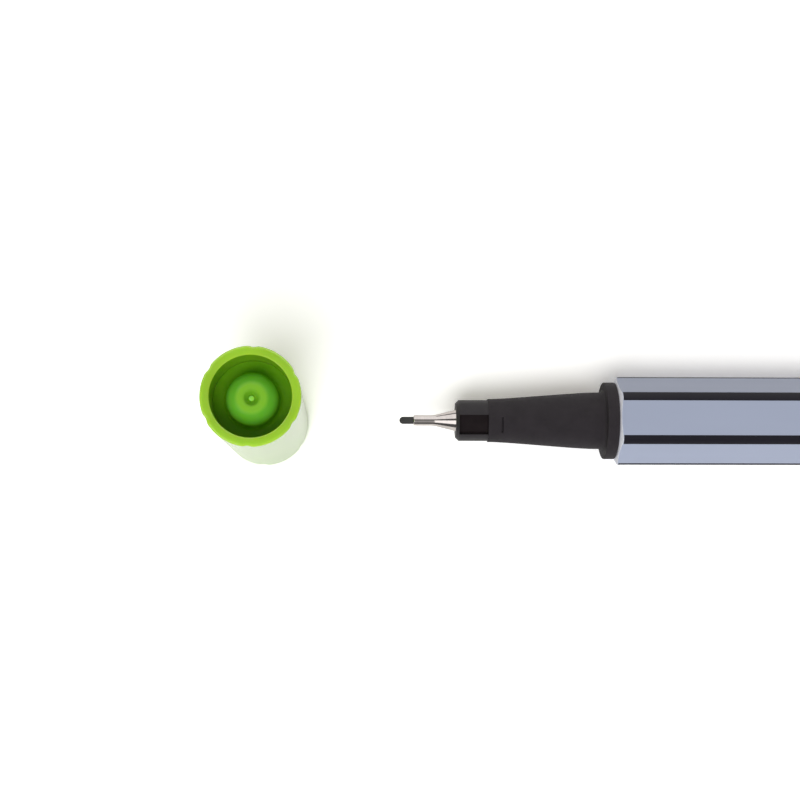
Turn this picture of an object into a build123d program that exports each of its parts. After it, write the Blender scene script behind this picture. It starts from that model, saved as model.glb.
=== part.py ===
from build123d import *
import math
import os

# A fineliner pen lying on a flat of its six-sided barrel. Its cap stands on its mouth ahead of the nib.
# Sizes are in millimetres. +X runs from the nib to the tail and +Z is up.
# The origin is the middle of the barrel's lowest flat, on the table.

# Fits, as radial gaps
PUSH_FIT = 0.02  # pieces pushed into each other for good
NIB_FIT = 0.01  # nib in the metal tube
SEAL_FIT = 0.02  # the cap's inner cup on the head of the tip carrier
POST_FIT = 0.06  # the cap's mouth on the post at the tail

# Barrel
BARREL_LENGTH = 128.0
BARREL_FLATS = 7.92  # across two opposite flats
CORNER_ROUND = 1.0  # radius of the six corners
BARREL_BORE = 6.5
BEVEL_LENGTH = 0.3  # cone on both ends, along the axis
BEVEL_RISE = 0.85  # the same cone, along the radius
STRIPE_DEPTH = 0.15
STRIPE_MARGIN = 0.33  # from each end of the barrel to the stripes

# Section, the nose that the fingers hold
COLLAR_DIAMETER = 7.7
COLLAR_THICKNESS = 1.15
COLLAR_ROUND = 0.12
SPIGOT_LENGTH = 9.0  # inside the barrel
SPIGOT_LEAD = 0.4
CHAMBER_DIAMETER = 4.4  # air space behind the tip carrier
NOSE_LENGTH = 11.6  # from the collar to the section's front end
ROOT_DIAMETER = 5.68
ROOT_LENGTH = 0.8  # straight stretch at the collar
ROOT_FILLET = 0.45
NECK_DIAMETER = 4.32
NECK_ROUND = 0.05  # edge at the front end
TAPER_EASE = 0.2  # how gently the taper leaves both ends, as a share of its length
KEY_LENGTH = 1.45  # small flat behind the air groove
KEY_DEPTH = 0.14

# Tip carrier, the plug in the section's front end
HEAD_DIAMETER = 4.1
HEAD_LENGTH = 3.2
HEAD_CHAMFER = 0.3
STEM_DIAMETER = 3.2
STEM_LENGTH = 8.5
VENT_WIDTH = 2.0  # air groove along head and stem, from behind the chamfer
VENT_DEPTH = 0.75
VENT_ANGLE = 18.0  # degrees, from the top toward -Y

# Metal tip sleeve
CONE_LENGTH = 2.2
CONE_DIAMETER = 2.16  # at the carrier, and of the shank inside it
TUBE_LENGTH = 2.0
TUBE_ROUND = 0.06
CONE_BLEND = 3.0  # radius between cone and tube
SLEEVE_WALL = 0.155
SHANK_LENGTH = 4.5

# Nib
NIB_DIAMETER = 0.73
NIB_REACH = 1.4  # ahead of the metal tube
NIB_SOAK = 10.0  # inside the reservoir
NIB_POINT = 1.2  # cone on its tail
NIB_BLUNT = 0.1  # radius at which that cone ends

# Ink reservoir and its film
RESERVOIR_DIAMETER = 5.8
SOAK_GAP = 0.2  # past the nib's tail
WRAP_THICKNESS = 0.12
WRAP_SETBACK = 0.5  # from each end of the reservoir

# Tail plug
PLUG_LENGTH = 8.0  # inside the barrel
PLUG_WALL = 0.9
TAIL_COLLAR_DIAMETER = 7.7
TAIL_COLLAR_THICKNESS = 1.15
POST_LENGTH = 6.0
POST_ROUND = 0.6
POST_END = 1.6  # thickness of its closed end

# Cap shell
CAP_GAP = 9.15  # from the nib's point to the standing cap
CAP_LENGTH = 29.0
CAP_DIAMETER = 8.6
MOUTH_BORE = 7.34
MOUTH_LEAD = 0.2
MOUTH_ROUND = 0.2
UPPER_BORE = 7.0  # above the mouth's bore
RIM_ROUND = 0.2
RIM_INNER_ROUND = 0.1
GROOVE_COUNT = 6
GROOVE_RADIUS = 1.5
GROOVE_DEPTH = 0.1
GROOVE_ANGLE = 27.0  # degrees, of the first groove from +X

# Inner cup of the cap
LIP_GAP = 0.3  # from the section's front end to the cup's lip, when the cap is on
LIP_LEAD = 0.15
CUP_WALL = 0.55
SEAL_LENGTH = 2.9
CROWN_RECESS = 2.2  # below the cap's rim
CROWN_DIAMETER = 4.55
CROWN_RISE = 0.5
CROWN_ROUND = 1.2
PLATEAU_DIAMETER = 2.7  # flat top of the crown
CROWN_THICKNESS = 0.8
CROWN_BORE = 3.4  # inside, at the closed end
DIMPLE_DIAMETER = 1.36
DIMPLE_DEPTH = 0.45
GATE_DIAMETER = 0.5
GATE_HEIGHT = 0.25
FLANGE_RECESS = 2.5  # below the crown's edge
FLANGE_LENGTH = 4.0  # ring that holds the cup in the shell
FLANGE_FILLET = 0.3

# A hexagon on one of its flats
SIDES = 6
TURN = 360.0
CORNER_STEP = TURN / SIDES

# Stations along the pen, each reached from the last
axis_height = BARREL_FLATS / 2
barrel_front = -BARREL_LENGTH / 2
barrel_rear = BARREL_LENGTH / 2
stripe_length = BARREL_LENGTH - 2 * STRIPE_MARGIN
collar_face = barrel_front - COLLAR_THICKNESS
section_end = collar_face - NOSE_LENGTH
head_end = section_end - HEAD_LENGTH
cone_end = head_end - CONE_LENGTH
tube_end = cone_end - TUBE_LENGTH
nib_end = tube_end - NIB_REACH
stem_end = section_end + STEM_LENGTH
shank_end = head_end + SHANK_LENGTH
reservoir_front = barrel_front + SPIGOT_LENGTH
reservoir_rear = barrel_rear - PLUG_LENGTH
nib_tail = reservoir_front + NIB_SOAK

# Radii that follow from a fit or from the hexagon
sharp_corner = axis_height / math.cos(math.radians(CORNER_STEP / 2))
corner_centre = sharp_corner - CORNER_ROUND / math.cos(math.radians(CORNER_STEP / 2))
corner_reach = corner_centre + CORNER_ROUND
bore_radius = BARREL_BORE / 2
push_radius = bore_radius - PUSH_FIT
head_radius = HEAD_DIAMETER / 2
neck_radius = NECK_DIAMETER / 2
stem_radius = STEM_DIAMETER / 2
shank_radius = CONE_DIAMETER / 2
nib_radius = NIB_DIAMETER / 2
nib_bore = nib_radius + NIB_FIT
tube_radius = nib_bore + SLEEVE_WALL
reservoir_radius = RESERVOIR_DIAMETER / 2
mouth_radius = MOUTH_BORE / 2
upper_radius = UPPER_BORE / 2
cap_radius = CAP_DIAMETER / 2
cap_x = nib_end - CAP_GAP - cap_radius
seal_radius = head_radius + SEAL_FIT
lip_height = NOSE_LENGTH + LIP_GAP


def along_pen(face):
    """A solid turned about the pen's axis, from a face drawn as distance along the pen and radius."""
    return Pos(0, 0, axis_height) * revolve(Plane.XZ * face, axis=Axis.X)


def along_cap(face):
    """A solid turned about the standing cap's axis, from a face drawn as radius and height."""
    return Pos(cap_x, 0, 0) * revolve(Plane.XZ * face, axis=Axis.Z)


def outline(*corners):
    """A closed face from corners given as two coordinates and, where the corner is round, its radius."""
    points = [corner[:2] for corner in corners]
    rounds = [corner[2] if len(corner) > 2 else 0 for corner in corners]
    return make_face(FilletPolyline(*points, radius=rounds, close=True))


def round_pen(angle):
    """A place on the pen's axis, turned about it."""
    return Pos(0, 0, axis_height) * Rot(angle, 0, 0)


def on_vent_side(start, length, width, reach, depth):
    """A cutter on the air groove's side of the pen that leaves a floor below the given reach."""
    block = Pos(start + length / 2, 0, reach) * Box(length, width, 2 * depth)
    return round_pen(VENT_ANGLE) * block


def on_corners(inside, outside):
    """Strips along the barrel's corners, between two radii about the centre of each corner's round."""
    far = 2 * outside
    aside = far * math.tan(math.radians(CORNER_STEP / 2))
    wedge = outline((0, 0), (far, -aside), (far, aside))
    sector = (Circle(outside) - Circle(inside)) & wedge
    strip = extrude(Plane.YZ * Pos(corner_centre, 0) * sector, stripe_length)
    strip = Pos(-stripe_length / 2, 0, 0) * strip
    return [round_pen(CORNER_STEP * k) * strip for k in range(SIDES)]


def hexagon():
    """The barrel's outline: a hexagon with rounded corners."""
    corners = []
    for k in range(SIDES):
        angle = math.radians(CORNER_STEP * k)
        corners.append((sharp_corner * math.cos(angle), sharp_corner * math.sin(angle), CORNER_ROUND))
    return outline(*corners)


def make_barrel():
    tube = extrude(Plane.YZ * hexagon(), BARREL_LENGTH)
    tube = Pos(barrel_front, 0, axis_height) * tube
    bore = outline(
        (barrel_front, 0),
        (barrel_rear, 0),
        (barrel_rear, bore_radius),
        (barrel_front, bore_radius),
    )
    tube -= along_pen(bore)
    bevel_start = corner_reach - BEVEL_RISE
    bevel_run = (sharp_corner - bevel_start) * BEVEL_LENGTH / BEVEL_RISE
    for end, inward in ((barrel_front, 1), (barrel_rear, -1)):
        beyond = outline(
            (end, bevel_start),
            (end, sharp_corner),
            (end + inward * bevel_run, sharp_corner),
        )
        tube -= along_pen(beyond)
    for slot in on_corners(CORNER_ROUND - STRIPE_DEPTH, CORNER_ROUND + STRIPE_DEPTH):
        tube -= slot
    return tube


def make_corner_stripes():
    return Part() + on_corners(CORNER_ROUND - STRIPE_DEPTH, CORNER_ROUND)


def make_section():
    taper_start = collar_face - ROOT_LENGTH
    taper_end = section_end + NECK_ROUND
    ease = TAPER_EASE * (taper_start - taper_end)
    root_radius = ROOT_DIAMETER / 2
    collar_radius = COLLAR_DIAMETER / 2
    chamber_radius = CHAMBER_DIAMETER / 2
    seat_radius = stem_radius + PUSH_FIT
    rear = FilletPolyline(
        (stem_end, seat_radius),
        (stem_end, chamber_radius),
        (reservoir_front, chamber_radius),
        (reservoir_front, push_radius - SPIGOT_LEAD),
        (reservoir_front - SPIGOT_LEAD, push_radius),
        (barrel_front, push_radius),
        (barrel_front, collar_radius),
        (collar_face, collar_radius),
        (collar_face, root_radius),
        (taper_start, root_radius),
        radius=(0, 0, 0, 0, 0, COLLAR_ROUND, COLLAR_ROUND, ROOT_FILLET),
    )
    taper = Bezier(
        (taper_start, root_radius),
        (taper_start - ease, root_radius),
        (taper_end + ease, neck_radius),
        (taper_end, neck_radius),
    )
    edge = JernArc((taper_end, neck_radius), (-1, 0), NECK_ROUND, TURN / 4)
    front = Polyline(
        (section_end, neck_radius - NECK_ROUND),
        (section_end, seat_radius),
        (stem_end, seat_radius),
    )
    body = along_pen(make_face(Curve() + [rear, taper, edge, front]))
    return body - on_vent_side(section_end, KEY_LENGTH, NECK_DIAMETER, neck_radius, KEY_DEPTH)


def make_tip_carrier():
    seat_radius = shank_radius + PUSH_FIT
    guide_radius = nib_radius + PUSH_FIT
    body = along_pen(
        outline(
            (head_end, seat_radius),
            (head_end, head_radius - HEAD_CHAMFER),
            (head_end + HEAD_CHAMFER, head_radius),
            (section_end, head_radius),
            (section_end, stem_radius),
            (stem_end, stem_radius),
            (stem_end, guide_radius),
            (shank_end, guide_radius),
            (shank_end, seat_radius),
        )
    )
    vent_start = head_end + HEAD_CHAMFER
    vent_length = stem_end - vent_start
    return body - on_vent_side(vent_start, vent_length, VENT_WIDTH, head_radius, VENT_DEPTH)


def make_tip_sleeve():
    return along_pen(
        outline(
            (tube_end, nib_bore),
            (tube_end, tube_radius, TUBE_ROUND),
            (cone_end, tube_radius, CONE_BLEND),
            (head_end, shank_radius),
            (shank_end, shank_radius),
            (shank_end, shank_radius - SLEEVE_WALL),
            (head_end, shank_radius - SLEEVE_WALL),
            (cone_end, nib_bore, CONE_BLEND + SLEEVE_WALL),
        )
    )


def make_nib():
    point = make_face(
        Curve()
        + [
            JernArc((nib_end, 0), (0, 1), nib_radius, -TURN / 4),
            Polyline(
                (nib_end + nib_radius, nib_radius),
                (nib_tail - NIB_POINT, nib_radius),
                (nib_tail, NIB_BLUNT),
                (nib_tail, 0),
                (nib_end, 0),
            ),
        ]
    )
    return along_pen(point)


def make_reservoir():
    socket_end = nib_tail + SOAK_GAP
    socket_radius = nib_radius + PUSH_FIT
    return along_pen(
        outline(
            (reservoir_front, socket_radius),
            (reservoir_front, reservoir_radius),
            (reservoir_rear, reservoir_radius),
            (reservoir_rear, 0),
            (socket_end, 0),
            (socket_end, socket_radius),
        )
    )


def make_reservoir_wrap():
    inside = reservoir_radius + PUSH_FIT
    outside = inside + WRAP_THICKNESS
    return along_pen(
        outline(
            (reservoir_front + WRAP_SETBACK, inside),
            (reservoir_front + WRAP_SETBACK, outside),
            (reservoir_rear - WRAP_SETBACK, outside),
            (reservoir_rear - WRAP_SETBACK, inside),
        )
    )


def make_tail_plug():
    collar_radius = TAIL_COLLAR_DIAMETER / 2
    collar_end = barrel_rear + TAIL_COLLAR_THICKNESS
    post_radius = mouth_radius - POST_FIT
    post_end = collar_end + POST_LENGTH
    hollow_radius = push_radius - PLUG_WALL
    return along_pen(
        outline(
            (reservoir_rear, hollow_radius),
            (reservoir_rear, push_radius),
            (barrel_rear, push_radius),
            (barrel_rear, collar_radius, COLLAR_ROUND),
            (collar_end, collar_radius, COLLAR_ROUND),
            (collar_end, post_radius),
            (post_end, post_radius, POST_ROUND),
            (post_end, 0),
            (post_end - POST_END, 0),
            (post_end - POST_END, hollow_radius),
        )
    )


def make_cap_shell():
    shell = along_cap(
        outline(
            (mouth_radius + MOUTH_LEAD, 0),
            (cap_radius, 0, MOUTH_ROUND),
            (cap_radius, CAP_LENGTH, RIM_ROUND),
            (upper_radius, CAP_LENGTH, RIM_INNER_ROUND),
            (upper_radius, NOSE_LENGTH),
            (mouth_radius, NOSE_LENGTH),
            (mouth_radius, MOUTH_LEAD),
        )
    )
    reach = cap_radius + GROOVE_RADIUS - GROOVE_DEPTH
    groove = Pos(reach, 0, CAP_LENGTH / 2) * Cylinder(GROOVE_RADIUS, CAP_LENGTH)
    for k in range(GROOVE_COUNT):
        turned = Pos(cap_x, 0, 0) * Rot(0, 0, GROOVE_ANGLE + TURN * k / GROOVE_COUNT)
        shell -= turned * groove
    return shell


def make_cap_inner_cup():
    shoulder = CAP_LENGTH - CROWN_RECESS
    crown = shoulder + CROWN_RISE
    inner_end = shoulder - CROWN_THICKNESS
    flange_radius = upper_radius - PUSH_FIT
    flange_top = shoulder - FLANGE_RECESS
    flange_bottom = flange_top - FLANGE_LENGTH
    dimple_radius = DIMPLE_DIAMETER / 2
    gate_radius = GATE_DIAMETER / 2
    dimple_floor = crown - DIMPLE_DEPTH

    def outside(height):
        """The radius of the cup, which narrows from its lip to its crown."""
        share = (height - lip_height) / (shoulder - lip_height)
        return (1 - share) * (seal_radius + CUP_WALL) + share * CROWN_DIAMETER / 2

    return along_cap(
        outline(
            (seal_radius + LIP_LEAD, lip_height),
            (outside(lip_height), lip_height),
            (outside(flange_bottom), flange_bottom),
            (flange_radius, flange_bottom),
            (flange_radius, flange_top),
            (outside(flange_top), flange_top, FLANGE_FILLET),
            (outside(shoulder), shoulder, CROWN_ROUND),
            (PLATEAU_DIAMETER / 2, crown),
            (dimple_radius, crown),
            (gate_radius, dimple_floor),
            (gate_radius, dimple_floor + GATE_HEIGHT),
            (0, dimple_floor + GATE_HEIGHT),
            (0, inner_end),
            (CROWN_BORE / 2, inner_end),
            (seal_radius, lip_height + SEAL_LENGTH),
            (seal_radius, lip_height + LIP_LEAD),
        )
    )


PIECES = {
    "barrel": make_barrel,
    "corner_stripes": make_corner_stripes,
    "section": make_section,
    "tip_carrier": make_tip_carrier,
    "tip_sleeve": make_tip_sleeve,
    "nib": make_nib,
    "reservoir": make_reservoir,
    "reservoir_wrap": make_reservoir_wrap,
    "tail_plug": make_tail_plug,
    "cap_shell": make_cap_shell,
    "cap_inner_cup": make_cap_inner_cup,
}

os.makedirs("parts", exist_ok=True)
for name, make in PIECES.items():
    export_step(make(), f"parts/{name}.step")
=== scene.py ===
import math

import bmesh
import bpy
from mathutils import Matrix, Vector


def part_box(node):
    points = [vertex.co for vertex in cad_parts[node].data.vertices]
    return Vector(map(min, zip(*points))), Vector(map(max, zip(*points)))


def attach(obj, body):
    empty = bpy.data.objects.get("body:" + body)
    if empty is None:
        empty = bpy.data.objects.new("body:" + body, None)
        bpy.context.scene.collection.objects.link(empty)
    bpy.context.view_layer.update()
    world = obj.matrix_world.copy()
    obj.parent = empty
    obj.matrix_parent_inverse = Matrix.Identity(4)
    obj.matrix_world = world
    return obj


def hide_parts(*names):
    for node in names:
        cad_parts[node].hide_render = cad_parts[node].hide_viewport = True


# A fineliner pen lying on a flat of its barrel, with its cap standing on its mouth ahead of the nib.
# Sizes are in millimetres, and skin() turns them into metres. +X runs from the nib to the tail.
MM = 0.001

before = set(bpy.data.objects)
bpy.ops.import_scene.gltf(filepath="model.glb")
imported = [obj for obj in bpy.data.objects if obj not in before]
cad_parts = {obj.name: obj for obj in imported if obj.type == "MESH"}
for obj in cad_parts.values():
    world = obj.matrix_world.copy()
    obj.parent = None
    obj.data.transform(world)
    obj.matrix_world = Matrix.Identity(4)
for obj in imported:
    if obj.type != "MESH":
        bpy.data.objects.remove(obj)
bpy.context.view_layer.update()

FULL_TURN = 2 * math.pi

# Barrel and its corner strips
SIDES = 6
CORNER_STEP = FULL_TURN / SIDES
CORNER_ROUND = 1.0
BARREL_BORE = 6.5
BEVEL_LENGTH = 0.3
BEVEL_RISE = 0.85
BEVEL_EDGE = 0.05
CUT_FACING = 0.5  # share of a normal along an axis, above which a face belongs to a cut across it
STRIP_DEPTH = 0.15
STRIP_EDGE = 0.03

# Section
COLLAR_DIAMETER = 7.7
COLLAR_THICKNESS = 1.15
COLLAR_ROUND = 0.12
SPIGOT_LEAD = 0.4
CHAMBER_DIAMETER = 4.4
ROOT_DIAMETER = 5.68
ROOT_LENGTH = 0.8
ROOT_FILLET = 0.45
NECK_DIAMETER = 4.32
NECK_ROUND = 0.05
TAPER_EASE = 0.2
KEY_LENGTH = 1.45
KEY_DEPTH = 0.14
KEY_GROOVE_LENGTH = 1.5
KEY_GROOVE_WIDTH = 0.18
KEY_GROOVE_DEPTH = 0.24

# Tip carrier
HEAD_DIAMETER = 4.1
HEAD_CHAMFER = 0.3
STEM_DIAMETER = 3.2
VENT_WIDTH = 2.0
VENT_DEPTH = 0.75
VENT_ANGLE = math.radians(18)  # from the top toward -Y

# Tip sleeve and nib
CONE_LENGTH = 2.2
CONE_DIAMETER = 2.16
CONE_BLEND = 3.0
TUBE_ROUND = 0.11
TUBE_LIP = 0.03
SLEEVE_WALL = 0.155
NIB_DIAMETER = 0.73
NIB_FIT = 0.01
NIB_POINT = 1.2
NIB_BLUNT = 0.1

# Tail plug
PLUG_WALL = 0.9
POST_DIAMETER = 7.22
POST_LENGTH = 6.0
POST_ROUND = 0.6
POST_END = 1.6
TAIL_MARK_DIAMETER = 2.2
TAIL_MARK_DEPTH = 0.12
TAIL_MARK_ROUND = 0.06

# Cap shell
MOUTH_BORE = 7.34
MOUTH_LENGTH = 11.6
MOUTH_LEAD = 0.2
MOUTH_ROUND = 0.2
UPPER_BORE = 7.0
RIM_ROUND = 0.2
RIM_INNER_ROUND = 0.1
FLUTE_COUNT = 6
FLUTE_DEPTH = 0.1
FLUTE_WIDTH = 1.1
FLUTE_ANGLE = math.radians(27)  # of the first flute, from +X
BORE_MARGIN = 0.01  # a face this near to the upper bore's radius belongs to the bore

# Inner cup of the cap
SEAL_DIAMETER = 4.14
SEAL_LENGTH = 2.9
LIP_LEAD = 0.15
CUP_WALL = 0.55
CROWN_RECESS = 2.2
CROWN_DIAMETER = 4.55
CROWN_ROUND = 1.2
PLATEAU_DIAMETER = 2.7
PLATEAU_ROUND = 1.2
CROWN_THICKNESS = 0.8
CROWN_BORE = 3.4
DIMPLE_DIAMETER = 1.36
DIMPLE_DEPTH = 0.45
DIMPLE_ROUND = 0.12
GATE_DIAMETER = 0.5
GATE_HEIGHT = 0.25
GATE_ROUND = 0.16
GATE_FILLET = 0.03
FLANGE_RECESS = 2.5
FLANGE_LENGTH = 4.0
FLANGE_FILLET = 0.3
FLANGE_GAP = 0.002  # the flange is pressed in, so that no gap shows

# Radial gap between pieces pushed together for good
PUSH_FIT = 0.02

# Fineness of the meshes
TURN_STEPS = 192
CAP_STEPS = 360
ROUND_STEPS = 8
CURVE_STEPS = 32
FLAT_STEPS = 16
SHARP_ANGLE = math.radians(12.5)
MERGE_DISTANCE = 0.0001

# Colours, as linear values
BARREL_BLUE = (0.347, 0.389, 0.511)
BARREL_CUT = (0.79, 0.80, 0.88)
STRIP_BLACK = (0.0115, 0.0105, 0.016)
SECTION_BLACK = (0.026, 0.0225, 0.026)
# painted shade: the air groove's floor in a darker black than the nose
GROOVE_SHADE_BLACK = (0.015, 0.0115, 0.0125)
SLEEVE_STEEL = (0.70, 0.645, 0.615)
NIB_GREY = (0.045, 0.045, 0.046)
INK_GREEN = (0.16, 0.30, 0.05)
FILM_CLEAR = (0.85, 0.87, 0.85)
CAP_LIME = (0.366, 0.618, 0.041)
# painted shade: the cap's upper bore in a deeper green than its outside
BORE_SHADE_GREEN = (0.22, 0.45, 0.012)
CUP_GREEN = (0.225, 0.52, 0.015)
# painted shade in the crown's dimple and toward its edge, and painted light on its plateau
CROWN_EDGE_SHADE_GREEN = (0.15, 0.475, 0.034)
PLATEAU_LIT_GREEN = (0.255, 0.56, 0.042)
DIMPLE_SHADE_GREEN = (0.15, 0.40, 0.016)
# painted highlight: the gate's top in a paler, bluer green
GATE_HIGHLIGHT_GREEN = (0.32, 0.70, 0.09)

# How far light goes into the green plastics
CAP_DEPTH = 1.2
CUP_DEPTH = 0.12

# Half the width over which one zone of the crown's painted light and shade turns into the next
CROWN_BLEND = 0.16

# Polish of the cap's tube and of its cup
CAP_GLOSS = 0.5
CUP_GLOSS = 0.2
CAP_COAT = 1.0
COAT_ROUGHNESS = 0.12

# Values that the finishes share
PLASTIC_IOR = 1.5
EVEN = (1, 1, 1)
NOISE_DETAIL = 3.0
NOISE_LOW = 0.3  # noise mostly lies between these
NOISE_HIGH = 0.7
SCATTER_SHARES = (0.85, 1.0, 0.15)  # of a scatter depth, for red, green and blue

# Light and floor
SUN_ELEVATION = math.radians(58)
SUN_AZIMUTH = math.radians(10)  # from -Y toward -X
SUN_SPREAD = math.radians(45)
SUN_SHARE = 0.575  # of the light on a level surface
SUN_COLOUR = (1.0, 1.0, 1.0)
FILL_ELEVATION = math.radians(40)
FILL_AZIMUTH = math.radians(165)
FILL_SPREAD = math.radians(90)
FILL_SHARE = 0.125
FILL_COLOUR = (1.0, 0.91, 0.80)
FLOOR_SIZE = 2000.0
FLOOR_SEEN = 1.4  # to the camera, so that only shadows fall below white
FLOOR_MIRRORED = 0.88  # in gloss and through film
FLOOR_BOUNCE = 1.0  # to light that it throws back
BACKDROP_SEEN = 1.0

# The studio that gloss shows: levels of its parts, then their edges as a direction's share along an axis
STUDIO_WHITE = 1.06
STUDIO_WINDOW = 1.45
STUDIO_DARK = 0.37
STUDIO_LINE = 0.1
SEAM_ACROSS = 0.09  # the window lies on this seam's side toward -Y
SEAM_REACH = 0.18  # of its dark line, to each side
OVERHEAD_ACROSS = 0.3  # the dark part covers this edge's side toward -Y
OVERHEAD_ALONG = -0.25  # and this one's toward +X, and leaves the window free past it
HORIZON_NEAR = 0.62  # top of the dark line low down toward -Y
HORIZON_FAR = 0.26  # top of the one toward +Y, which lies only past the dark part's end
EDGE_SOFTNESS = 0.04

# Camera, fitted to the outlines in the photograph
CAMERA_PLACE = (-91.30, -12.88, 163.35)
CAMERA_TURN = (0.09329, -0.03639, -0.0006)
FOCAL_PIXELS = 1600.6
IMAGE_PIXELS = 800
SENSOR = 36.0


def box(node):
    """A node's lowest and highest corners, in millimetres."""
    low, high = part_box(node)
    return low / MM, high / MM


# Stations along the pen and heights on the cap, from the frame
barrel_low, barrel_high = box("barrel")
strip_low, strip_high = box("corner_stripes")
section_low, section_high = box("section")
carrier_low, carrier_high = box("tip_carrier")
sleeve_low, sleeve_high = box("tip_sleeve")
nib_low, nib_high = box("nib")
plug_low, plug_high = box("tail_plug")
cap_low, cap_high = box("cap_shell")
cup_low, cup_high = box("cap_inner_cup")

flat_reach = (barrel_high.z - barrel_low.z) / 2
axis_height = barrel_low.z + flat_reach
collar_face = barrel_low.x - COLLAR_THICKNESS
section_end = section_low.x
head_end = carrier_low.x
stem_end = carrier_high.x
cone_end = head_end - CONE_LENGTH
post_end = plug_high.x
tail_collar_end = post_end - POST_LENGTH
cap_axis = (cap_low + cap_high) / 2
cap_radius = (cap_high.x - cap_low.x) / 2
rim_height = cap_high.z
shoulder_height = rim_height - CROWN_RECESS
crown_height = cup_high.z
lip_height = cup_low.z

# Radii that follow from a fit or from the hexagon
sharp_corner = flat_reach / math.cos(CORNER_STEP / 2)
corner_centre = sharp_corner - CORNER_ROUND / math.cos(CORNER_STEP / 2)
corner_reach = corner_centre + CORNER_ROUND
bevel_start = corner_reach - BEVEL_RISE
bore_radius = BARREL_BORE / 2
push_radius = bore_radius - PUSH_FIT
collar_radius = COLLAR_DIAMETER / 2
neck_radius = NECK_DIAMETER / 2
head_radius = HEAD_DIAMETER / 2
stem_radius = STEM_DIAMETER / 2
shank_radius = CONE_DIAMETER / 2
nib_radius = NIB_DIAMETER / 2
nib_bore = nib_radius + NIB_FIT
tube_radius = nib_bore + SLEEVE_WALL
upper_radius = UPPER_BORE / 2
seal_radius = SEAL_DIAMETER / 2


def skin(name, rings, closed=True):
    """A piece whose surface runs through rings of as many points each. Open ends get flat faces."""
    count = len(rings[0])
    points = [point * MM for ring in rings for point in ring]
    spans = list(zip(range(len(rings)), range(1, len(rings))))
    if closed:
        spans.append((len(rings) - 1, 0))
    faces = []
    for a, b in spans:
        for k in range(count):
            after = (k + 1) % count
            faces.append((a * count + k, a * count + after, b * count + after, b * count + k))
    if not closed:
        faces.append(range(count))
        faces.append(range(len(points) - count, len(points)))
    mesh = bpy.data.meshes.new(name)
    mesh.from_pydata(points, [], faces)
    finish_surface(mesh)
    piece = bpy.data.objects.new(name, mesh)
    bpy.context.scene.collection.objects.link(piece)
    normals = piece.modifiers.new("normals", "WEIGHTED_NORMAL")
    normals.keep_sharp = True
    return piece


def finish_surface(mesh):
    """Points that coincide become one, faces look outward, and only real edges stay sharp."""
    work = bmesh.new()
    work.from_mesh(mesh)
    bmesh.ops.remove_doubles(work, verts=work.verts, dist=MERGE_DISTANCE * MM)
    bmesh.ops.recalc_face_normals(work, faces=work.faces)
    work.to_mesh(mesh)
    work.free()
    mesh.shade_smooth()
    mesh.set_sharp_from_angle(angle=SHARP_ANGLE)


def rounded(*corners):
    """The points of a closed outline. A corner is two coordinates and, where it is round, its radius."""
    points = []
    for before, corner, after in zip(corners[-1:] + corners[:-1], corners, corners[1:] + corners[:1]):
        here = Vector(corner[:2])
        if len(corner) == 2:
            points.append(here)
            continue
        back = (Vector(before[:2]) - here).normalized()
        ahead = (Vector(after[:2]) - here).normalized()
        half = back.angle(ahead) / 2
        reach = corner[2] / math.tan(half)
        centre = here + (back + ahead).normalized() * corner[2] / math.sin(half)
        first = here + back * reach - centre
        last = here + ahead * reach - centre
        turn = math.pi - 2 * half
        for k in range(ROUND_STEPS + 1):
            done = turn * k / ROUND_STEPS
            arm = (first * math.sin(turn - done) + last * math.sin(done)) / math.sin(turn)
            points.append(centre + arm)
    return points


def pen_point(along, radius, angle):
    """A point round the pen's axis, with the angle from the top toward -Y."""
    return Vector((along, -radius * math.sin(angle), axis_height + radius * math.cos(angle)))


def cap_point(radius, height, angle):
    """A point round the standing cap's axis, with the angle from +X toward +Y."""
    return Vector((cap_axis.x + radius * math.cos(angle), cap_axis.y + radius * math.sin(angle), height))


def turned(name, place, profile, steps=TURN_STEPS):
    """A piece turned about an axis. At each angle its profile gives the same number of points."""
    angles = [FULL_TURN * k / steps for k in range(steps)]
    columns = [profile(angle) for angle in angles]
    rings = []
    for row in zip(*columns):
        rings.append([place(*point, angle) for point, angle in zip(row, angles)])
    return skin(name, rings)


def hexagon(arc_radius):
    """Points round the barrel, across and up from its axis, with the corners' arcs at the given radius."""
    points = []
    for k in range(SIDES):
        middle = CORNER_STEP * k
        centre = Vector((math.cos(middle), math.sin(middle))) * corner_centre
        start = middle - CORNER_STEP / 2
        arms = [(CORNER_ROUND, start)]
        for step in range(ROUND_STEPS + 1):
            arms.append((arc_radius, start + CORNER_STEP * step / ROUND_STEPS))
        arms.append((CORNER_ROUND, start + CORNER_STEP))
        for radius, angle in arms:
            points.append(centre + Vector((math.cos(angle), math.sin(angle))) * radius)
        side_end = Vector((math.cos(middle + CORNER_STEP), math.sin(middle + CORNER_STEP))) * corner_centre
        last = points[-1]
        run = side_end - centre
        points.extend(last + run * step / FLAT_STEPS for step in range(1, FLAT_STEPS))
    return points


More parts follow.
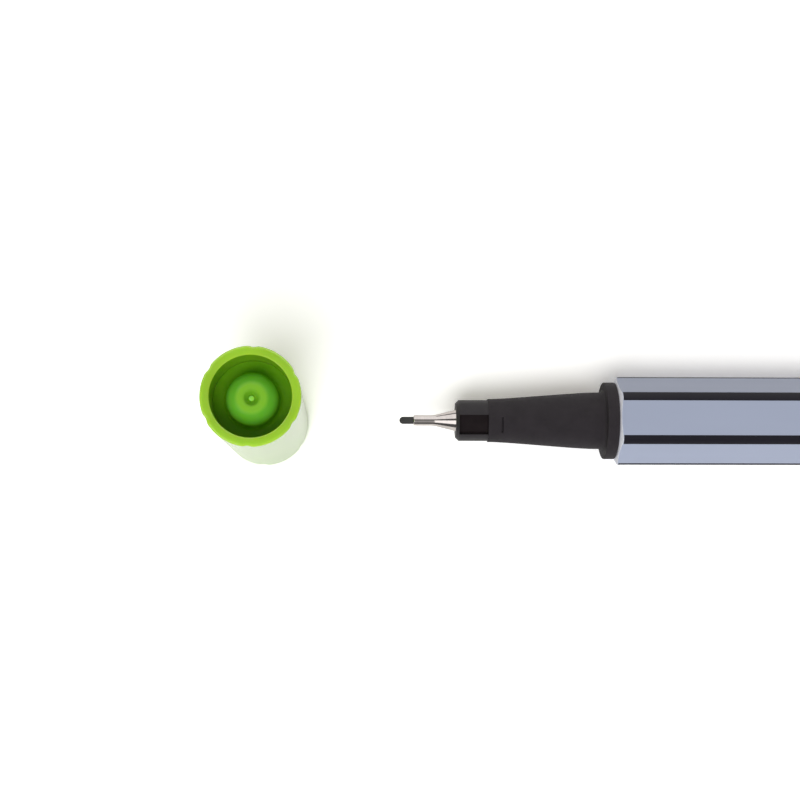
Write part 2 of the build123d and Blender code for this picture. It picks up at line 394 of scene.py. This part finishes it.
def make_barrel():
    outer = hexagon(CORNER_ROUND)
    slotted = hexagon(CORNER_ROUND - STRIP_DEPTH)
    margin = strip_low.x - barrel_low.x
    columns = []
    for point in outer:
        reach = point.length
        edge = (reach - bevel_start) * BEVEL_LENGTH / BEVEL_RISE
        columns.append(
            rounded((0, bore_radius), (0, bevel_start), (edge, reach, BEVEL_EDGE), (margin, reach))
        )

    def ring(along, points):
        return [Vector((along, point.x, axis_height + point.y)) for point in points]

    def end_rings(end, inward):
        rings = []
        for row in zip(*columns):
            made = []
            for (depth, radius), point in zip(row, outer):
                place = point * radius / point.length
                made.append(Vector((end + inward * depth, place.x, axis_height + place.y)))
            rings.append(made)
        return rings

    front = end_rings(barrel_low.x, 1)
    rear = end_rings(barrel_high.x, -1)
    middle = [ring(strip_low.x, slotted), ring(strip_high.x, slotted)]
    barrel = skin("barrel_tube", front + middle + rear[::-1])
    for face in barrel.data.polygons:
        face.material_index = int(abs(face.normal.x) > CUT_FACING)
    return barrel


def make_corner_strips():
    inside = CORNER_ROUND - STRIP_DEPTH
    half = CORNER_STEP / 2
    arc = [half * (2 * step / ROUND_STEPS - 1) for step in range(ROUND_STEPS + 1)]

    def outline(radius):
        corners = [(radius * math.cos(a), radius * math.sin(a)) for a in arc]
        corners[0] += (STRIP_EDGE,)
        corners[-1] += (STRIP_EDGE,)
        corners += [(inside * math.cos(a), inside * math.sin(a)) for a in reversed(arc)]
        return rounded(*corners)

    def ring(along, radius, turn):
        points = []
        for point in outline(radius):
            out = point.x + corner_centre
            across = out * math.cos(turn) - point.y * math.sin(turn)
            up = out * math.sin(turn) + point.y * math.cos(turn)
            points.append(Vector((along, across, axis_height + up)))
        return points

    strips = []
    for k in range(SIDES):
        turn = CORNER_STEP * k
        rings = [
            ring(strip_low.x, CORNER_ROUND - STRIP_EDGE, turn),
            ring(strip_low.x + STRIP_EDGE, CORNER_ROUND, turn),
            ring(strip_high.x - STRIP_EDGE, CORNER_ROUND, turn),
            ring(strip_high.x, CORNER_ROUND - STRIP_EDGE, turn),
        ]
        strips.append(skin(f"corner_strip_{k + 1}", rings, closed=False))
    return strips


def make_section():
    seat_radius = stem_radius + PUSH_FIT
    root_radius = ROOT_DIAMETER / 2
    chamber_radius = CHAMBER_DIAMETER / 2
    taper_start = collar_face - ROOT_LENGTH
    taper_end = section_end + NECK_ROUND
    run = taper_start - taper_end
    taper = []  # a cubic curve that leaves the root and meets the neck level with the axis
    for k in range(CURVE_STEPS + 1):
        t = k / CURVE_STEPS
        share = 3 * TAPER_EASE * (1 - t) ** 2 * t + 3 * (1 - TAPER_EASE) * (1 - t) * t**2 + t**3
        drop = 3 * t**2 - 2 * t**3
        taper.append((taper_start - run * share, root_radius + (neck_radius - root_radius) * drop))

    def taper_at(along):
        """The first point of the taper past a station, and the radius at the station."""
        place = next(k for k, point in enumerate(taper) if point[0] < along)
        (a, a_radius), (b, b_radius) = taper[place - 1 : place + 1]
        return place, a_radius + (b_radius - a_radius) * (along - a) / (b - a)

    key_end = section_end + KEY_LENGTH
    key_floor = neck_radius - KEY_DEPTH
    groove_end = key_end - KEY_GROOVE_WIDTH
    key_place, key_radius = taper_at(key_end)
    groove_place, groove_radius = taper_at(groove_end)
    behind = rounded(
        (stem_end, seat_radius),
        (stem_end, chamber_radius),
        (section_high.x, chamber_radius),
        (section_high.x, push_radius - SPIGOT_LEAD),
        (section_high.x - SPIGOT_LEAD, push_radius),
        (barrel_low.x, push_radius),
        (barrel_low.x, collar_radius, COLLAR_ROUND),
        (collar_face, collar_radius, COLLAR_ROUND),
        (collar_face, root_radius, ROOT_FILLET),
        *taper[:key_place],
        (key_end, key_radius),
    )
    groove = [(key_end, key_radius), (groove_end, groove_radius)]
    ahead = rounded(
        (groove_end, groove_radius),
        *taper[groove_place:-1],
        (section_end, neck_radius, NECK_ROUND),
        (section_end, seat_radius),
    )

    def profile(angle):
        facing = math.cos(angle - VENT_ANGLE)
        limit = key_floor / facing if facing > 0 else math.inf
        if limit > key_radius:
            limit = math.inf
        bottom = limit
        if abs(math.tan(angle - VENT_ANGLE)) * key_floor < KEY_GROOVE_LENGTH / 2:
            bottom -= KEY_GROOVE_DEPTH
        across = [Vector((along, min(radius, bottom))) for along, radius in groove]
        return behind + across + [Vector((along, min(radius, limit))) for along, radius in ahead]

    return turned("nose_section", pen_point, profile)


def make_tip_carrier():
    floor = head_radius - VENT_DEPTH
    seat_radius = shank_radius + PUSH_FIT
    guide_radius = nib_radius + PUSH_FIT

    def ring(along, radius, cut):
        """A ring with the air groove cut into it, or with as many points on the whole circle."""
        half = VENT_WIDTH / 2
        if cut:
            half = min(half, math.sqrt(radius**2 - floor**2))
        opening = math.asin(min(half / radius, 1.0))
        points = []
        for k in range(TURN_STEPS + 1):
            angle = opening + (FULL_TURN - 2 * opening) * k / TURN_STEPS
            points.append((radius * math.sin(angle), radius * math.cos(angle)))
        for k in range(FLAT_STEPS + 1):
            across = half * (2 * k / FLAT_STEPS - 1)
            up = floor if cut else math.sqrt(max(radius**2 - across**2, 0))
            points.append((across, up))
        placed = []
        for across, up in points:
            angle = math.atan2(across, up) + VENT_ANGLE
            placed.append(pen_point(along, math.hypot(across, up), angle))
        return placed

    vent_start = head_end + HEAD_CHAMFER
    rings = [
        ring(head_end, seat_radius, False),
        ring(head_end, head_radius - HEAD_CHAMFER, False),
        ring(vent_start, head_radius, False),
        ring(vent_start, head_radius, True),
        ring(section_end, head_radius, True),
        ring(section_end, stem_radius, True),
        ring(stem_end, stem_radius, True),
        ring(stem_end, guide_radius, False),
        ring(sleeve_high.x, guide_radius, False),
        ring(sleeve_high.x, seat_radius, False),
    ]
    plug = skin("tip_plug", rings)
    outward = pen_point(0, 1, VENT_ANGLE) - pen_point(0, 0, VENT_ANGLE)
    # Faces on the air groove's floor take the second slot, painted shade.
    for face in plug.data.polygons:
        height = (face.center / MM - pen_point(0, 0, 0)).dot(outward)
        facing = face.normal.dot(outward) > CUT_FACING
        face.material_index = int(facing and abs(height - floor) < MERGE_DISTANCE)
    return plug


def make_tip_sleeve():
    outline = rounded(
        (sleeve_low.x, nib_bore, TUBE_LIP),
        (sleeve_low.x, tube_radius, TUBE_ROUND),
        (cone_end, tube_radius, CONE_BLEND),
        (head_end, shank_radius),
        (sleeve_high.x, shank_radius),
        (sleeve_high.x, shank_radius - SLEEVE_WALL),
        (head_end, shank_radius - SLEEVE_WALL),
        (cone_end, nib_bore, CONE_BLEND + SLEEVE_WALL),
    )
    return turned("metal_sleeve", pen_point, lambda angle: outline)


def make_nib():
    outline = rounded(
        (nib_low.x, 0),
        (nib_low.x, nib_radius, nib_radius),
        (nib_high.x - NIB_POINT, nib_radius),
        (nib_high.x, NIB_BLUNT),
        (nib_high.x, 0),
    )
    return turned("nib_rod", pen_point, lambda angle: outline)


def make_tail_plug():
    hollow_radius = push_radius - PLUG_WALL
    post_radius = POST_DIAMETER / 2
    mark_radius = TAIL_MARK_DIAMETER / 2
    mark_floor = post_end - TAIL_MARK_DEPTH
    gate_radius = GATE_DIAMETER / 2
    outline = rounded(
        (plug_low.x, hollow_radius),
        (plug_low.x, push_radius),
        (barrel_high.x, push_radius),
        (barrel_high.x, collar_radius, COLLAR_ROUND),
        (tail_collar_end, collar_radius, COLLAR_ROUND),
        (tail_collar_end, post_radius),
        (post_end, post_radius, POST_ROUND),
        (post_end, mark_radius, TAIL_MARK_ROUND),
        (mark_floor, mark_radius - TAIL_MARK_DEPTH, TAIL_MARK_ROUND),
        (mark_floor, gate_radius),
        (mark_floor + TAIL_MARK_ROUND, gate_radius, TAIL_MARK_ROUND / 2),
        (mark_floor + TAIL_MARK_ROUND, 0),
        (post_end - POST_END, 0),
        (post_end - POST_END, hollow_radius),
    )
    return turned("tail_end_plug", pen_point, lambda angle: outline)


def make_cap_shell():
    mouth_radius = MOUTH_BORE / 2
    half_flute = FLUTE_WIDTH / 2 / cap_radius
    spacing = FULL_TURN / FLUTE_COUNT

    def profile(angle):
        aside = (angle - FLUTE_ANGLE + spacing / 2) % spacing - spacing / 2
        depth = 0
        if abs(aside) < half_flute:
            depth = FLUTE_DEPTH * math.cos(aside / half_flute * math.pi / 2) ** 2
        return rounded(
            (mouth_radius + MOUTH_LEAD, 0),
            (cap_radius - depth, 0, MOUTH_ROUND),
            (cap_radius - depth, rim_height, RIM_ROUND),
            (upper_radius, rim_height, RIM_INNER_ROUND),
            (upper_radius, MOUTH_LENGTH),
            (mouth_radius, MOUTH_LENGTH),
            (mouth_radius, MOUTH_LEAD),
        )

    shell = turned("cap_outer", cap_point, profile, CAP_STEPS)
    # Faces on the upper bore take the second slot, painted shade.
    for face in shell.data.polygons:
        place = face.center / MM - cap_axis
        face.material_index = int(abs(math.hypot(place.x, place.y) - upper_radius) < BORE_MARGIN)
    return shell


def make_cap_inner_cup():
    flange_radius = upper_radius - FLANGE_GAP
    flange_top = shoulder_height - FLANGE_RECESS
    flange_bottom = flange_top - FLANGE_LENGTH
    dimple_radius = DIMPLE_DIAMETER / 2
    gate_radius = GATE_DIAMETER / 2
    dimple_floor = crown_height - DIMPLE_DEPTH
    gate_top = dimple_floor + GATE_HEIGHT
    inner_end = shoulder_height - CROWN_THICKNESS

    def outside(height):
        """The radius of the cup, which narrows from its lip to its crown."""
        share = (height - lip_height) / (shoulder_height - lip_height)
        return (1 - share) * (seal_radius + CUP_WALL) + share * CROWN_DIAMETER / 2

    outline = rounded(
        (seal_radius + LIP_LEAD, lip_height),
        (outside(lip_height), lip_height),
        (outside(flange_bottom), flange_bottom),
        (flange_radius, flange_bottom),
        (flange_radius, flange_top),
        (outside(flange_top), flange_top, FLANGE_FILLET),
        (outside(shoulder_height), shoulder_height, CROWN_ROUND),
        (PLATEAU_DIAMETER / 2, crown_height, PLATEAU_ROUND),
        (dimple_radius, crown_height, DIMPLE_ROUND),
        (gate_radius, dimple_floor, GATE_FILLET),
        (gate_radius, gate_top, GATE_ROUND),
        (0, gate_top),
        (0, inner_end),
        (CROWN_BORE / 2, inner_end),
        (seal_radius, lip_height + SEAL_LENGTH),
        (seal_radius, lip_height + LIP_LEAD),
    )
    cup = turned("cap_inner", cap_point, lambda angle: outline)
    # Faces on top of the gate take the second slot, a painted highlight.
    for face in cup.data.polygons:
        place = face.center / MM - cap_axis
        face.material_index = int(math.hypot(place.x, place.y) < gate_radius and face.normal.z > 0)
    return cup


class Finish:
    """A material whose constant values sit on the shader and whose variation comes from noise.

    A grain is the noise's size in millimetres, and a stretch multiplies it along each axis.
    """

    def __init__(self, name, **constants):
        self.material = bpy.data.materials.new(name)
        self.material.use_nodes = True
        self.tree = self.material.node_tree
        self.shader = self.tree.nodes["Principled BSDF"]
        for socket, value in constants.items():
            self.shader.inputs[socket.replace("_", " ")].default_value = value
        self.place = self.tree.nodes.new("ShaderNodeTexCoord").outputs["Object"]

    def add(self, kind, **inputs):
        """A node whose inputs are values or other nodes' outputs."""
        made = self.tree.nodes.new("ShaderNode" + kind)
        for name, value in inputs.items():
            socket = made.inputs[name.replace("_", " ")]
            if isinstance(value, bpy.types.NodeSocket):
                self.tree.links.new(value, socket)
            else:
                socket.default_value = value
        return made

    def feed(self, output, socket):
        self.tree.links.new(output, self.shader.inputs[socket])

    def noise(self, grain, stretch, detail):
        scale = [1 / (grain * MM * share) for share in stretch]
        mapped = self.add("Mapping", Vector=self.place, Scale=scale).outputs["Vector"]
        return self.add("TexNoise", Vector=mapped, Scale=1.0, Detail=detail).outputs["Fac"]

    def tint(self, colour, dark, light, grain, stretch=EVEN):
        """The base colour, between a darker and a lighter share of a colour."""
        made = self.add("ValToRGB", Fac=self.noise(grain, stretch, NOISE_DETAIL))
        low, high = made.color_ramp.elements
        for end, place, share in ((low, NOISE_LOW, dark), (high, NOISE_HIGH, light)):
            end.position = place
            end.color = (*(value * share for value in colour), 1)
        self.feed(made.outputs["Color"], "Base Color")

    def zones(self, centre, blend, *zones):
        """The base colour, in zones round an upright axis. A zone is its outer radius and its colour."""
        shift = [-centre.x * MM, -centre.y * MM, 0]
        flat = self.add("Mapping", Vector=self.place, Location=shift, Scale=(1, 1, 0)).outputs["Vector"]
        radius = self.add("VectorMath", Vector=flat)
        radius.operation = "LENGTH"
        widest = zones[-1][0]
        share = self.add("MapRange", Value=radius.outputs["Value"], From_Max=widest * MM).outputs["Result"]
        made = self.add("ValToRGB", Fac=share)
        ramp = made.color_ramp
        ramp.elements.remove(ramp.elements[-1])
        ramp.elements[0].color = (*zones[0][1], 1)
        for (edge, inside), (_, outside) in zip(zones, zones[1:]):
            for place, colour in ((edge - blend, inside), (edge + blend, outside)):
                ramp.elements.new(place / widest).color = (*colour, 1)
        self.feed(made.outputs["Color"], "Base Color")

    def roughness(self, low, high, grain, stretch=EVEN):
        ranged = self.add(
            "MapRange",
            Value=self.noise(grain, stretch, NOISE_DETAIL),
            From_Min=NOISE_LOW,
            From_Max=NOISE_HIGH,
            To_Min=low,
            To_Max=high,
        )
        self.feed(ranged.outputs["Result"], "Roughness")

    def relief(self, depth, grain, stretch=EVEN, detail=NOISE_DETAIL):
        """Bumps of about this depth in millimetres, over any made before."""
        height = self.noise(grain, stretch, detail)
        made = self.add("Bump", Height=height, Distance=depth * MM, Strength=1.0)
        before = self.shader.inputs["Normal"]
        if before.is_linked:
            self.tree.links.new(before.links[0].from_socket, made.inputs["Normal"])
        self.feed(made.outputs["Normal"], "Normal")


def barrel_plastic():
    finish = Finish("barrel_plastic", IOR=PLASTIC_IOR)
    finish.tint(BARREL_BLUE, dark=0.97, light=1.03, grain=5, stretch=(6, 1, 1))
    finish.roughness(low=0.34, high=0.44, grain=0.6, stretch=(40, 1, 1))
    finish.relief(depth=0.0015, grain=0.25, stretch=(60, 1, 1))
    finish.relief(depth=0.0008, grain=0.08)
    return finish.material


def barrel_cut():
    """The bevelled ends, in a paler blue than the flats."""
    finish = Finish("barrel_cut", IOR=PLASTIC_IOR)
    finish.tint(BARREL_CUT, dark=0.95, light=1.05, grain=0.5)
    finish.roughness(low=0.45, high=0.6, grain=0.3)
    finish.relief(depth=0.001, grain=0.06, stretch=(8, 1, 1))
    return finish.material


def strip_plastic():
    finish = Finish("strip_plastic", IOR=PLASTIC_IOR, Specular_IOR_Level=0.25)
    finish.tint(STRIP_BLACK, dark=0.85, light=1.15, grain=2, stretch=(8, 1, 1))
    finish.roughness(low=0.5, high=0.6, grain=0.5, stretch=(30, 1, 1))
    finish.relief(depth=0.001, grain=0.1, stretch=(10, 1, 1))
    return finish.material


def section_plastic():
    finish = Finish("section_plastic", IOR=PLASTIC_IOR, Specular_IOR_Level=0.2)
    finish.tint(SECTION_BLACK, dark=0.9, light=1.1, grain=1.5)
    finish.roughness(low=0.58, high=0.66, grain=0.4)
    finish.relief(depth=0.001, grain=0.07, detail=2.0)
    return finish.material


def plug_plastic():
    """The tip plug is a glossier moulding than the nose."""
    finish = Finish("plug_plastic", IOR=PLASTIC_IOR, Specular_IOR_Level=0.32)
    finish.tint(SECTION_BLACK, dark=0.72, light=0.92, grain=1.5)
    finish.roughness(low=0.42, high=0.5, grain=0.4)
    finish.relief(depth=0.001, grain=0.07, detail=2.0)
    return finish.material


def groove_painted_shade():
    """The air groove's floor, dull, and darker than the nose with painted shade."""
    finish = Finish("groove_painted_shade", IOR=PLASTIC_IOR, Specular_IOR_Level=0.1)
    finish.tint(GROOVE_SHADE_BLACK, dark=0.8, light=1.2, grain=0.8)
    finish.roughness(low=0.7, high=0.85, grain=0.4)
    finish.relief(depth=0.002, grain=0.1)
    return finish.material


def polished_metal():
    finish = Finish("polished_metal", Metallic=1.0)
    finish.tint(SLEEVE_STEEL, dark=0.94, light=1.04, grain=0.5, stretch=(1, 3, 3))
    finish.roughness(low=0.07, high=0.13, grain=0.12, stretch=(1, 8, 8))
    finish.relief(depth=0.0006, grain=0.05, stretch=(1, 40, 40))
    return finish.material


def nib_fibre():
    finish = Finish("nib_fibre", IOR=1.45, Specular_IOR_Level=0.3)
    streaks = {"grain": 0.06, "stretch": (14, 1, 1)}
    finish.tint(NIB_GREY, dark=0.7, light=1.3, **streaks)
    finish.roughness(low=0.55, high=0.75, **streaks)
    finish.relief(depth=0.008, **streaks)
    return finish.material


def reservoir_fibre():
    finish = Finish("reservoir_fibre", Sheen_Weight=0.2)
    strands = {"grain": 0.12, "stretch": (80, 1, 1)}
    finish.tint(INK_GREEN, dark=0.6, light=1.4, **strands)
    finish.roughness(low=0.75, high=0.95, **strands)
    finish.relief(depth=0.03, **strands)
    return finish.material


def wrap_film():
    finish = Finish("wrap_film", IOR=PLASTIC_IOR, Transmission_Weight=0.4)
    finish.tint(FILM_CLEAR, dark=0.92, light=1.0, grain=3)
    finish.roughness(low=0.12, high=0.24, grain=0.8)
    finish.relief(depth=0.01, grain=1.2, stretch=(4, 1, 1))
    return finish.material


def green_finish(name, depth, gloss, coat=0.0):
    """Plastic that light enters. Green goes to the depth, in millimetres, and the other colours less far."""
    finish = Finish(
        name,
        IOR=PLASTIC_IOR,
        Specular_IOR_Level=gloss,
        Subsurface_Weight=1.0,
        Subsurface_Radius=[depth * share * MM for share in SCATTER_SHARES],
        Subsurface_Scale=1.0,
        Coat_Weight=coat,
        Coat_Roughness=COAT_ROUGHNESS,
    )
    finish.roughness(low=0.21, high=0.25, grain=3)
    finish.relief(depth=0.0002, grain=4, stretch=(1, 1, 4), detail=0.0)
    return finish


def green_plastic(name, colour, depth, gloss, coat=0.0):
    finish = green_finish(name, depth, gloss, coat)
    finish.tint(colour, dark=0.95, light=1.05, grain=3, stretch=(1, 1, 3))
    return finish.material


def cup_plastic_and_painted_light():
    """The cup's crown has painted light and shade in zones round its axis: painted shade in its dimple and
    toward its edge, painted light on its plateau.
    """
    finish = green_finish("cup_plastic_and_painted_light", CUP_DEPTH, CUP_GLOSS)
    finish.zones(
        cap_axis,
        CROWN_BLEND,
        (DIMPLE_DIAMETER / 2, DIMPLE_SHADE_GREEN),
        (PLATEAU_DIAMETER / 2, PLATEAU_LIT_GREEN),
        (CROWN_DIAMETER / 2, CROWN_EDGE_SHADE_GREEN),
        (upper_radius, CUP_GREEN),
    )
    return finish.material


def dress(piece, material, body, node):
    """A piece takes its finish, rides on its body and stands for its node."""
    piece.data.materials.append(material)
    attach(piece, body)
    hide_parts(node)


section_finish = section_plastic()
strip_finish = strip_plastic()
cap_finish = green_plastic("cap_plastic", CAP_LIME, CAP_DEPTH, CAP_GLOSS, CAP_COAT)
cup_finish = cup_plastic_and_painted_light()

barrel = make_barrel()
dress(barrel, barrel_plastic(), "pen", "barrel")
barrel.data.materials.append(barrel_cut())
for strip in make_corner_strips():
    dress(strip, strip_finish, "pen", "corner_stripes")
dress(make_section(), section_finish, "pen", "section")
plug = make_tip_carrier()
dress(plug, plug_plastic(), "pen", "tip_carrier")
# The air groove's floor gets painted shade.
plug.data.materials.append(groove_painted_shade())
dress(make_tip_sleeve(), polished_metal(), "pen", "tip_sleeve")
dress(make_nib(), nib_fibre(), "pen", "nib")
dress(make_tail_plug(), cap_finish, "pen", "tail_plug")
shell = make_cap_shell()
dress(shell, cap_finish, "cap", "cap_shell")
# The upper bore gets a deeper green of painted shade.
shell.data.materials.append(green_plastic("bore_painted_shade", BORE_SHADE_GREEN, CAP_DEPTH, CUP_GLOSS))
cup = make_cap_inner_cup()
dress(cup, cup_finish, "cap", "cap_inner_cup")
# The gate's top gets a painted highlight.
cup.data.materials.append(green_plastic("gate_painted_highlight", GATE_HIGHLIGHT_GREEN, CUP_DEPTH, CUP_GLOSS))
for node, material in (("reservoir", reservoir_fibre()), ("reservoir_wrap", wrap_film())):
    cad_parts[node].data.materials.clear()
    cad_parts[node].data.materials.append(material)


def make_floor():
    half = FLOOR_SIZE * MM / 2
    mesh = bpy.data.meshes.new("floor")
    corners = [(-half, -half, 0), (half, -half, 0), (half, half, 0), (-half, half, 0)]
    mesh.from_pydata(corners, [], [(0, 1, 2, 3)])
    floor = bpy.data.objects.new("floor", mesh)
    bpy.context.scene.collection.objects.link(floor)
    material = bpy.data.materials.new("floor_white")
    material.use_nodes = True
    tree = material.node_tree
    tree.nodes.clear()
    rays = tree.nodes.new("ShaderNodeLightPath").outputs
    mirrored = tree.nodes.new("ShaderNodeMath")
    mirrored.operation = "MAXIMUM"
    tree.links.new(rays["Is Glossy Ray"], mirrored.inputs[0])
    tree.links.new(rays["Is Transmission Ray"], mirrored.inputs[1])
    level = mix_levels(tree, mirrored.outputs[0], FLOOR_BOUNCE, FLOOR_MIRRORED)
    level = mix_levels(tree, rays["Is Camera Ray"], level, FLOOR_SEEN)
    diffuse = tree.nodes.new("ShaderNodeBsdfDiffuse")
    tree.links.new(level, diffuse.inputs["Color"])
    output = tree.nodes.new("ShaderNodeOutputMaterial")
    tree.links.new(diffuse.outputs["BSDF"], output.inputs["Surface"])
    mesh.materials.append(material)


def mix_levels(tree, factor, first, second):
    """A level between two others, which are numbers or outputs."""
    made = tree.nodes.new("ShaderNodeMix")
    for name, value in (("Factor", factor), ("A", first), ("B", second)):
        if isinstance(value, bpy.types.NodeSocket):
            tree.links.new(value, made.inputs[name])
        else:
            made.inputs[name].default_value = value
    return made.outputs["Result"]


def make_world():
    """Soft light all round, and white to the camera.

    Gloss shows a white studio with a window, a dark part overhead, and dark lines at a seam and low down.
    """
    world = bpy.data.worlds.new("studio")
    bpy.context.scene.world = world
    world.use_nodes = True
    tree = world.node_tree
    background = tree.nodes["Background"]
    rays = tree.nodes.new("ShaderNodeLightPath").outputs
    direction = tree.nodes.new("ShaderNodeTexCoord").outputs["Generated"]
    split = tree.nodes.new("ShaderNodeSeparateXYZ")
    tree.links.new(direction, split.inputs[0])

    def beyond(axis, edge, side):
        """1 on one side of an edge across the sky, toward + or - of the axis, and 0 on the other."""
        ranged = tree.nodes.new("ShaderNodeMapRange")
        ranged.interpolation_type = "SMOOTHSTEP"
        tree.links.new(split.outputs[axis], ranged.inputs["Value"])
        ranged.inputs["From Min"].default_value = edge - side * EDGE_SOFTNESS
        ranged.inputs["From Max"].default_value = edge + side * EDGE_SOFTNESS
        return ranged.outputs["Result"]

    def combine(operation, first, second):
        made = tree.nodes.new("ShaderNodeMath")
        made.operation = operation
        tree.links.new(first, made.inputs[0])
        tree.links.new(second, made.inputs[1])
        return made.outputs[0]

    window = beyond("Y", SEAM_ACROSS, -1)
    overhead = combine("MULTIPLY", beyond("Y", OVERHEAD_ACROSS, -1), beyond("X", OVERHEAD_ALONG, 1))
    seam = combine(
        "MULTIPLY", beyond("Y", SEAM_ACROSS - SEAM_REACH, 1), beyond("Y", SEAM_ACROSS + SEAM_REACH, -1)
    )
    near = combine("MULTIPLY", beyond("Z", HORIZON_NEAR, -1), beyond("Y", 0, -1))
    far = combine("MULTIPLY", beyond("Z", HORIZON_FAR, -1), beyond("Y", 0, 1))
    far = combine("MULTIPLY", far, beyond("X", OVERHEAD_ALONG, -1))
    lines = combine("MAXIMUM", seam, combine("MAXIMUM", near, far))
    studio = mix_levels(tree, window, STUDIO_WHITE, STUDIO_WINDOW)
    studio = mix_levels(tree, overhead, studio, STUDIO_DARK)
    studio = mix_levels(tree, lines, studio, STUDIO_LINE)
    level = mix_levels(tree, rays["Is Glossy Ray"], 1 - SUN_SHARE - FILL_SHARE, studio)
    level = mix_levels(tree, rays["Is Transmission Ray"], level, BACKDROP_SEEN)
    level = mix_levels(tree, rays["Is Camera Ray"], level, BACKDROP_SEEN)
    tree.links.new(level, background.inputs["Color"])


def make_lamp(name, share, elevation, azimuth, spread, colour):
    """A soft distant light that gives a level surface its share of the light. Gloss doesn't show it."""
    light = bpy.data.lights.new(name, "SUN")
    light.energy = math.pi * share / math.sin(elevation)
    light.angle = spread
    light.color = colour
    lamp = bpy.data.objects.new(name, light)
    lamp.visible_glossy = False
    bpy.context.scene.collection.objects.link(lamp)
    level = math.cos(elevation)
    toward = Vector((-math.sin(azimuth) * level, -math.cos(azimuth) * level, math.sin(elevation)))
    lamp.rotation_euler = toward.to_track_quat("Z", "Y").to_euler()


def make_camera():
    data = bpy.data.cameras.new("camera")
    data.sensor_width = SENSOR
    data.lens = FOCAL_PIXELS / IMAGE_PIXELS * SENSOR
    data.clip_start = MM
    camera = bpy.data.objects.new("camera", data)
    camera.location = Vector(CAMERA_PLACE) * MM
    camera.rotation_euler = CAMERA_TURN
    bpy.context.scene.collection.objects.link(camera)
    bpy.context.scene.camera = camera


make_floor()
make_world()
make_lamp("key", SUN_SHARE, SUN_ELEVATION, SUN_AZIMUTH, SUN_SPREAD, SUN_COLOUR)
make_lamp("fill", FILL_SHARE, FILL_ELEVATION, FILL_AZIMUTH, FILL_SPREAD, FILL_COLOUR)
make_camera()
bpy.context.scene.view_settings.view_transform = "Standard"
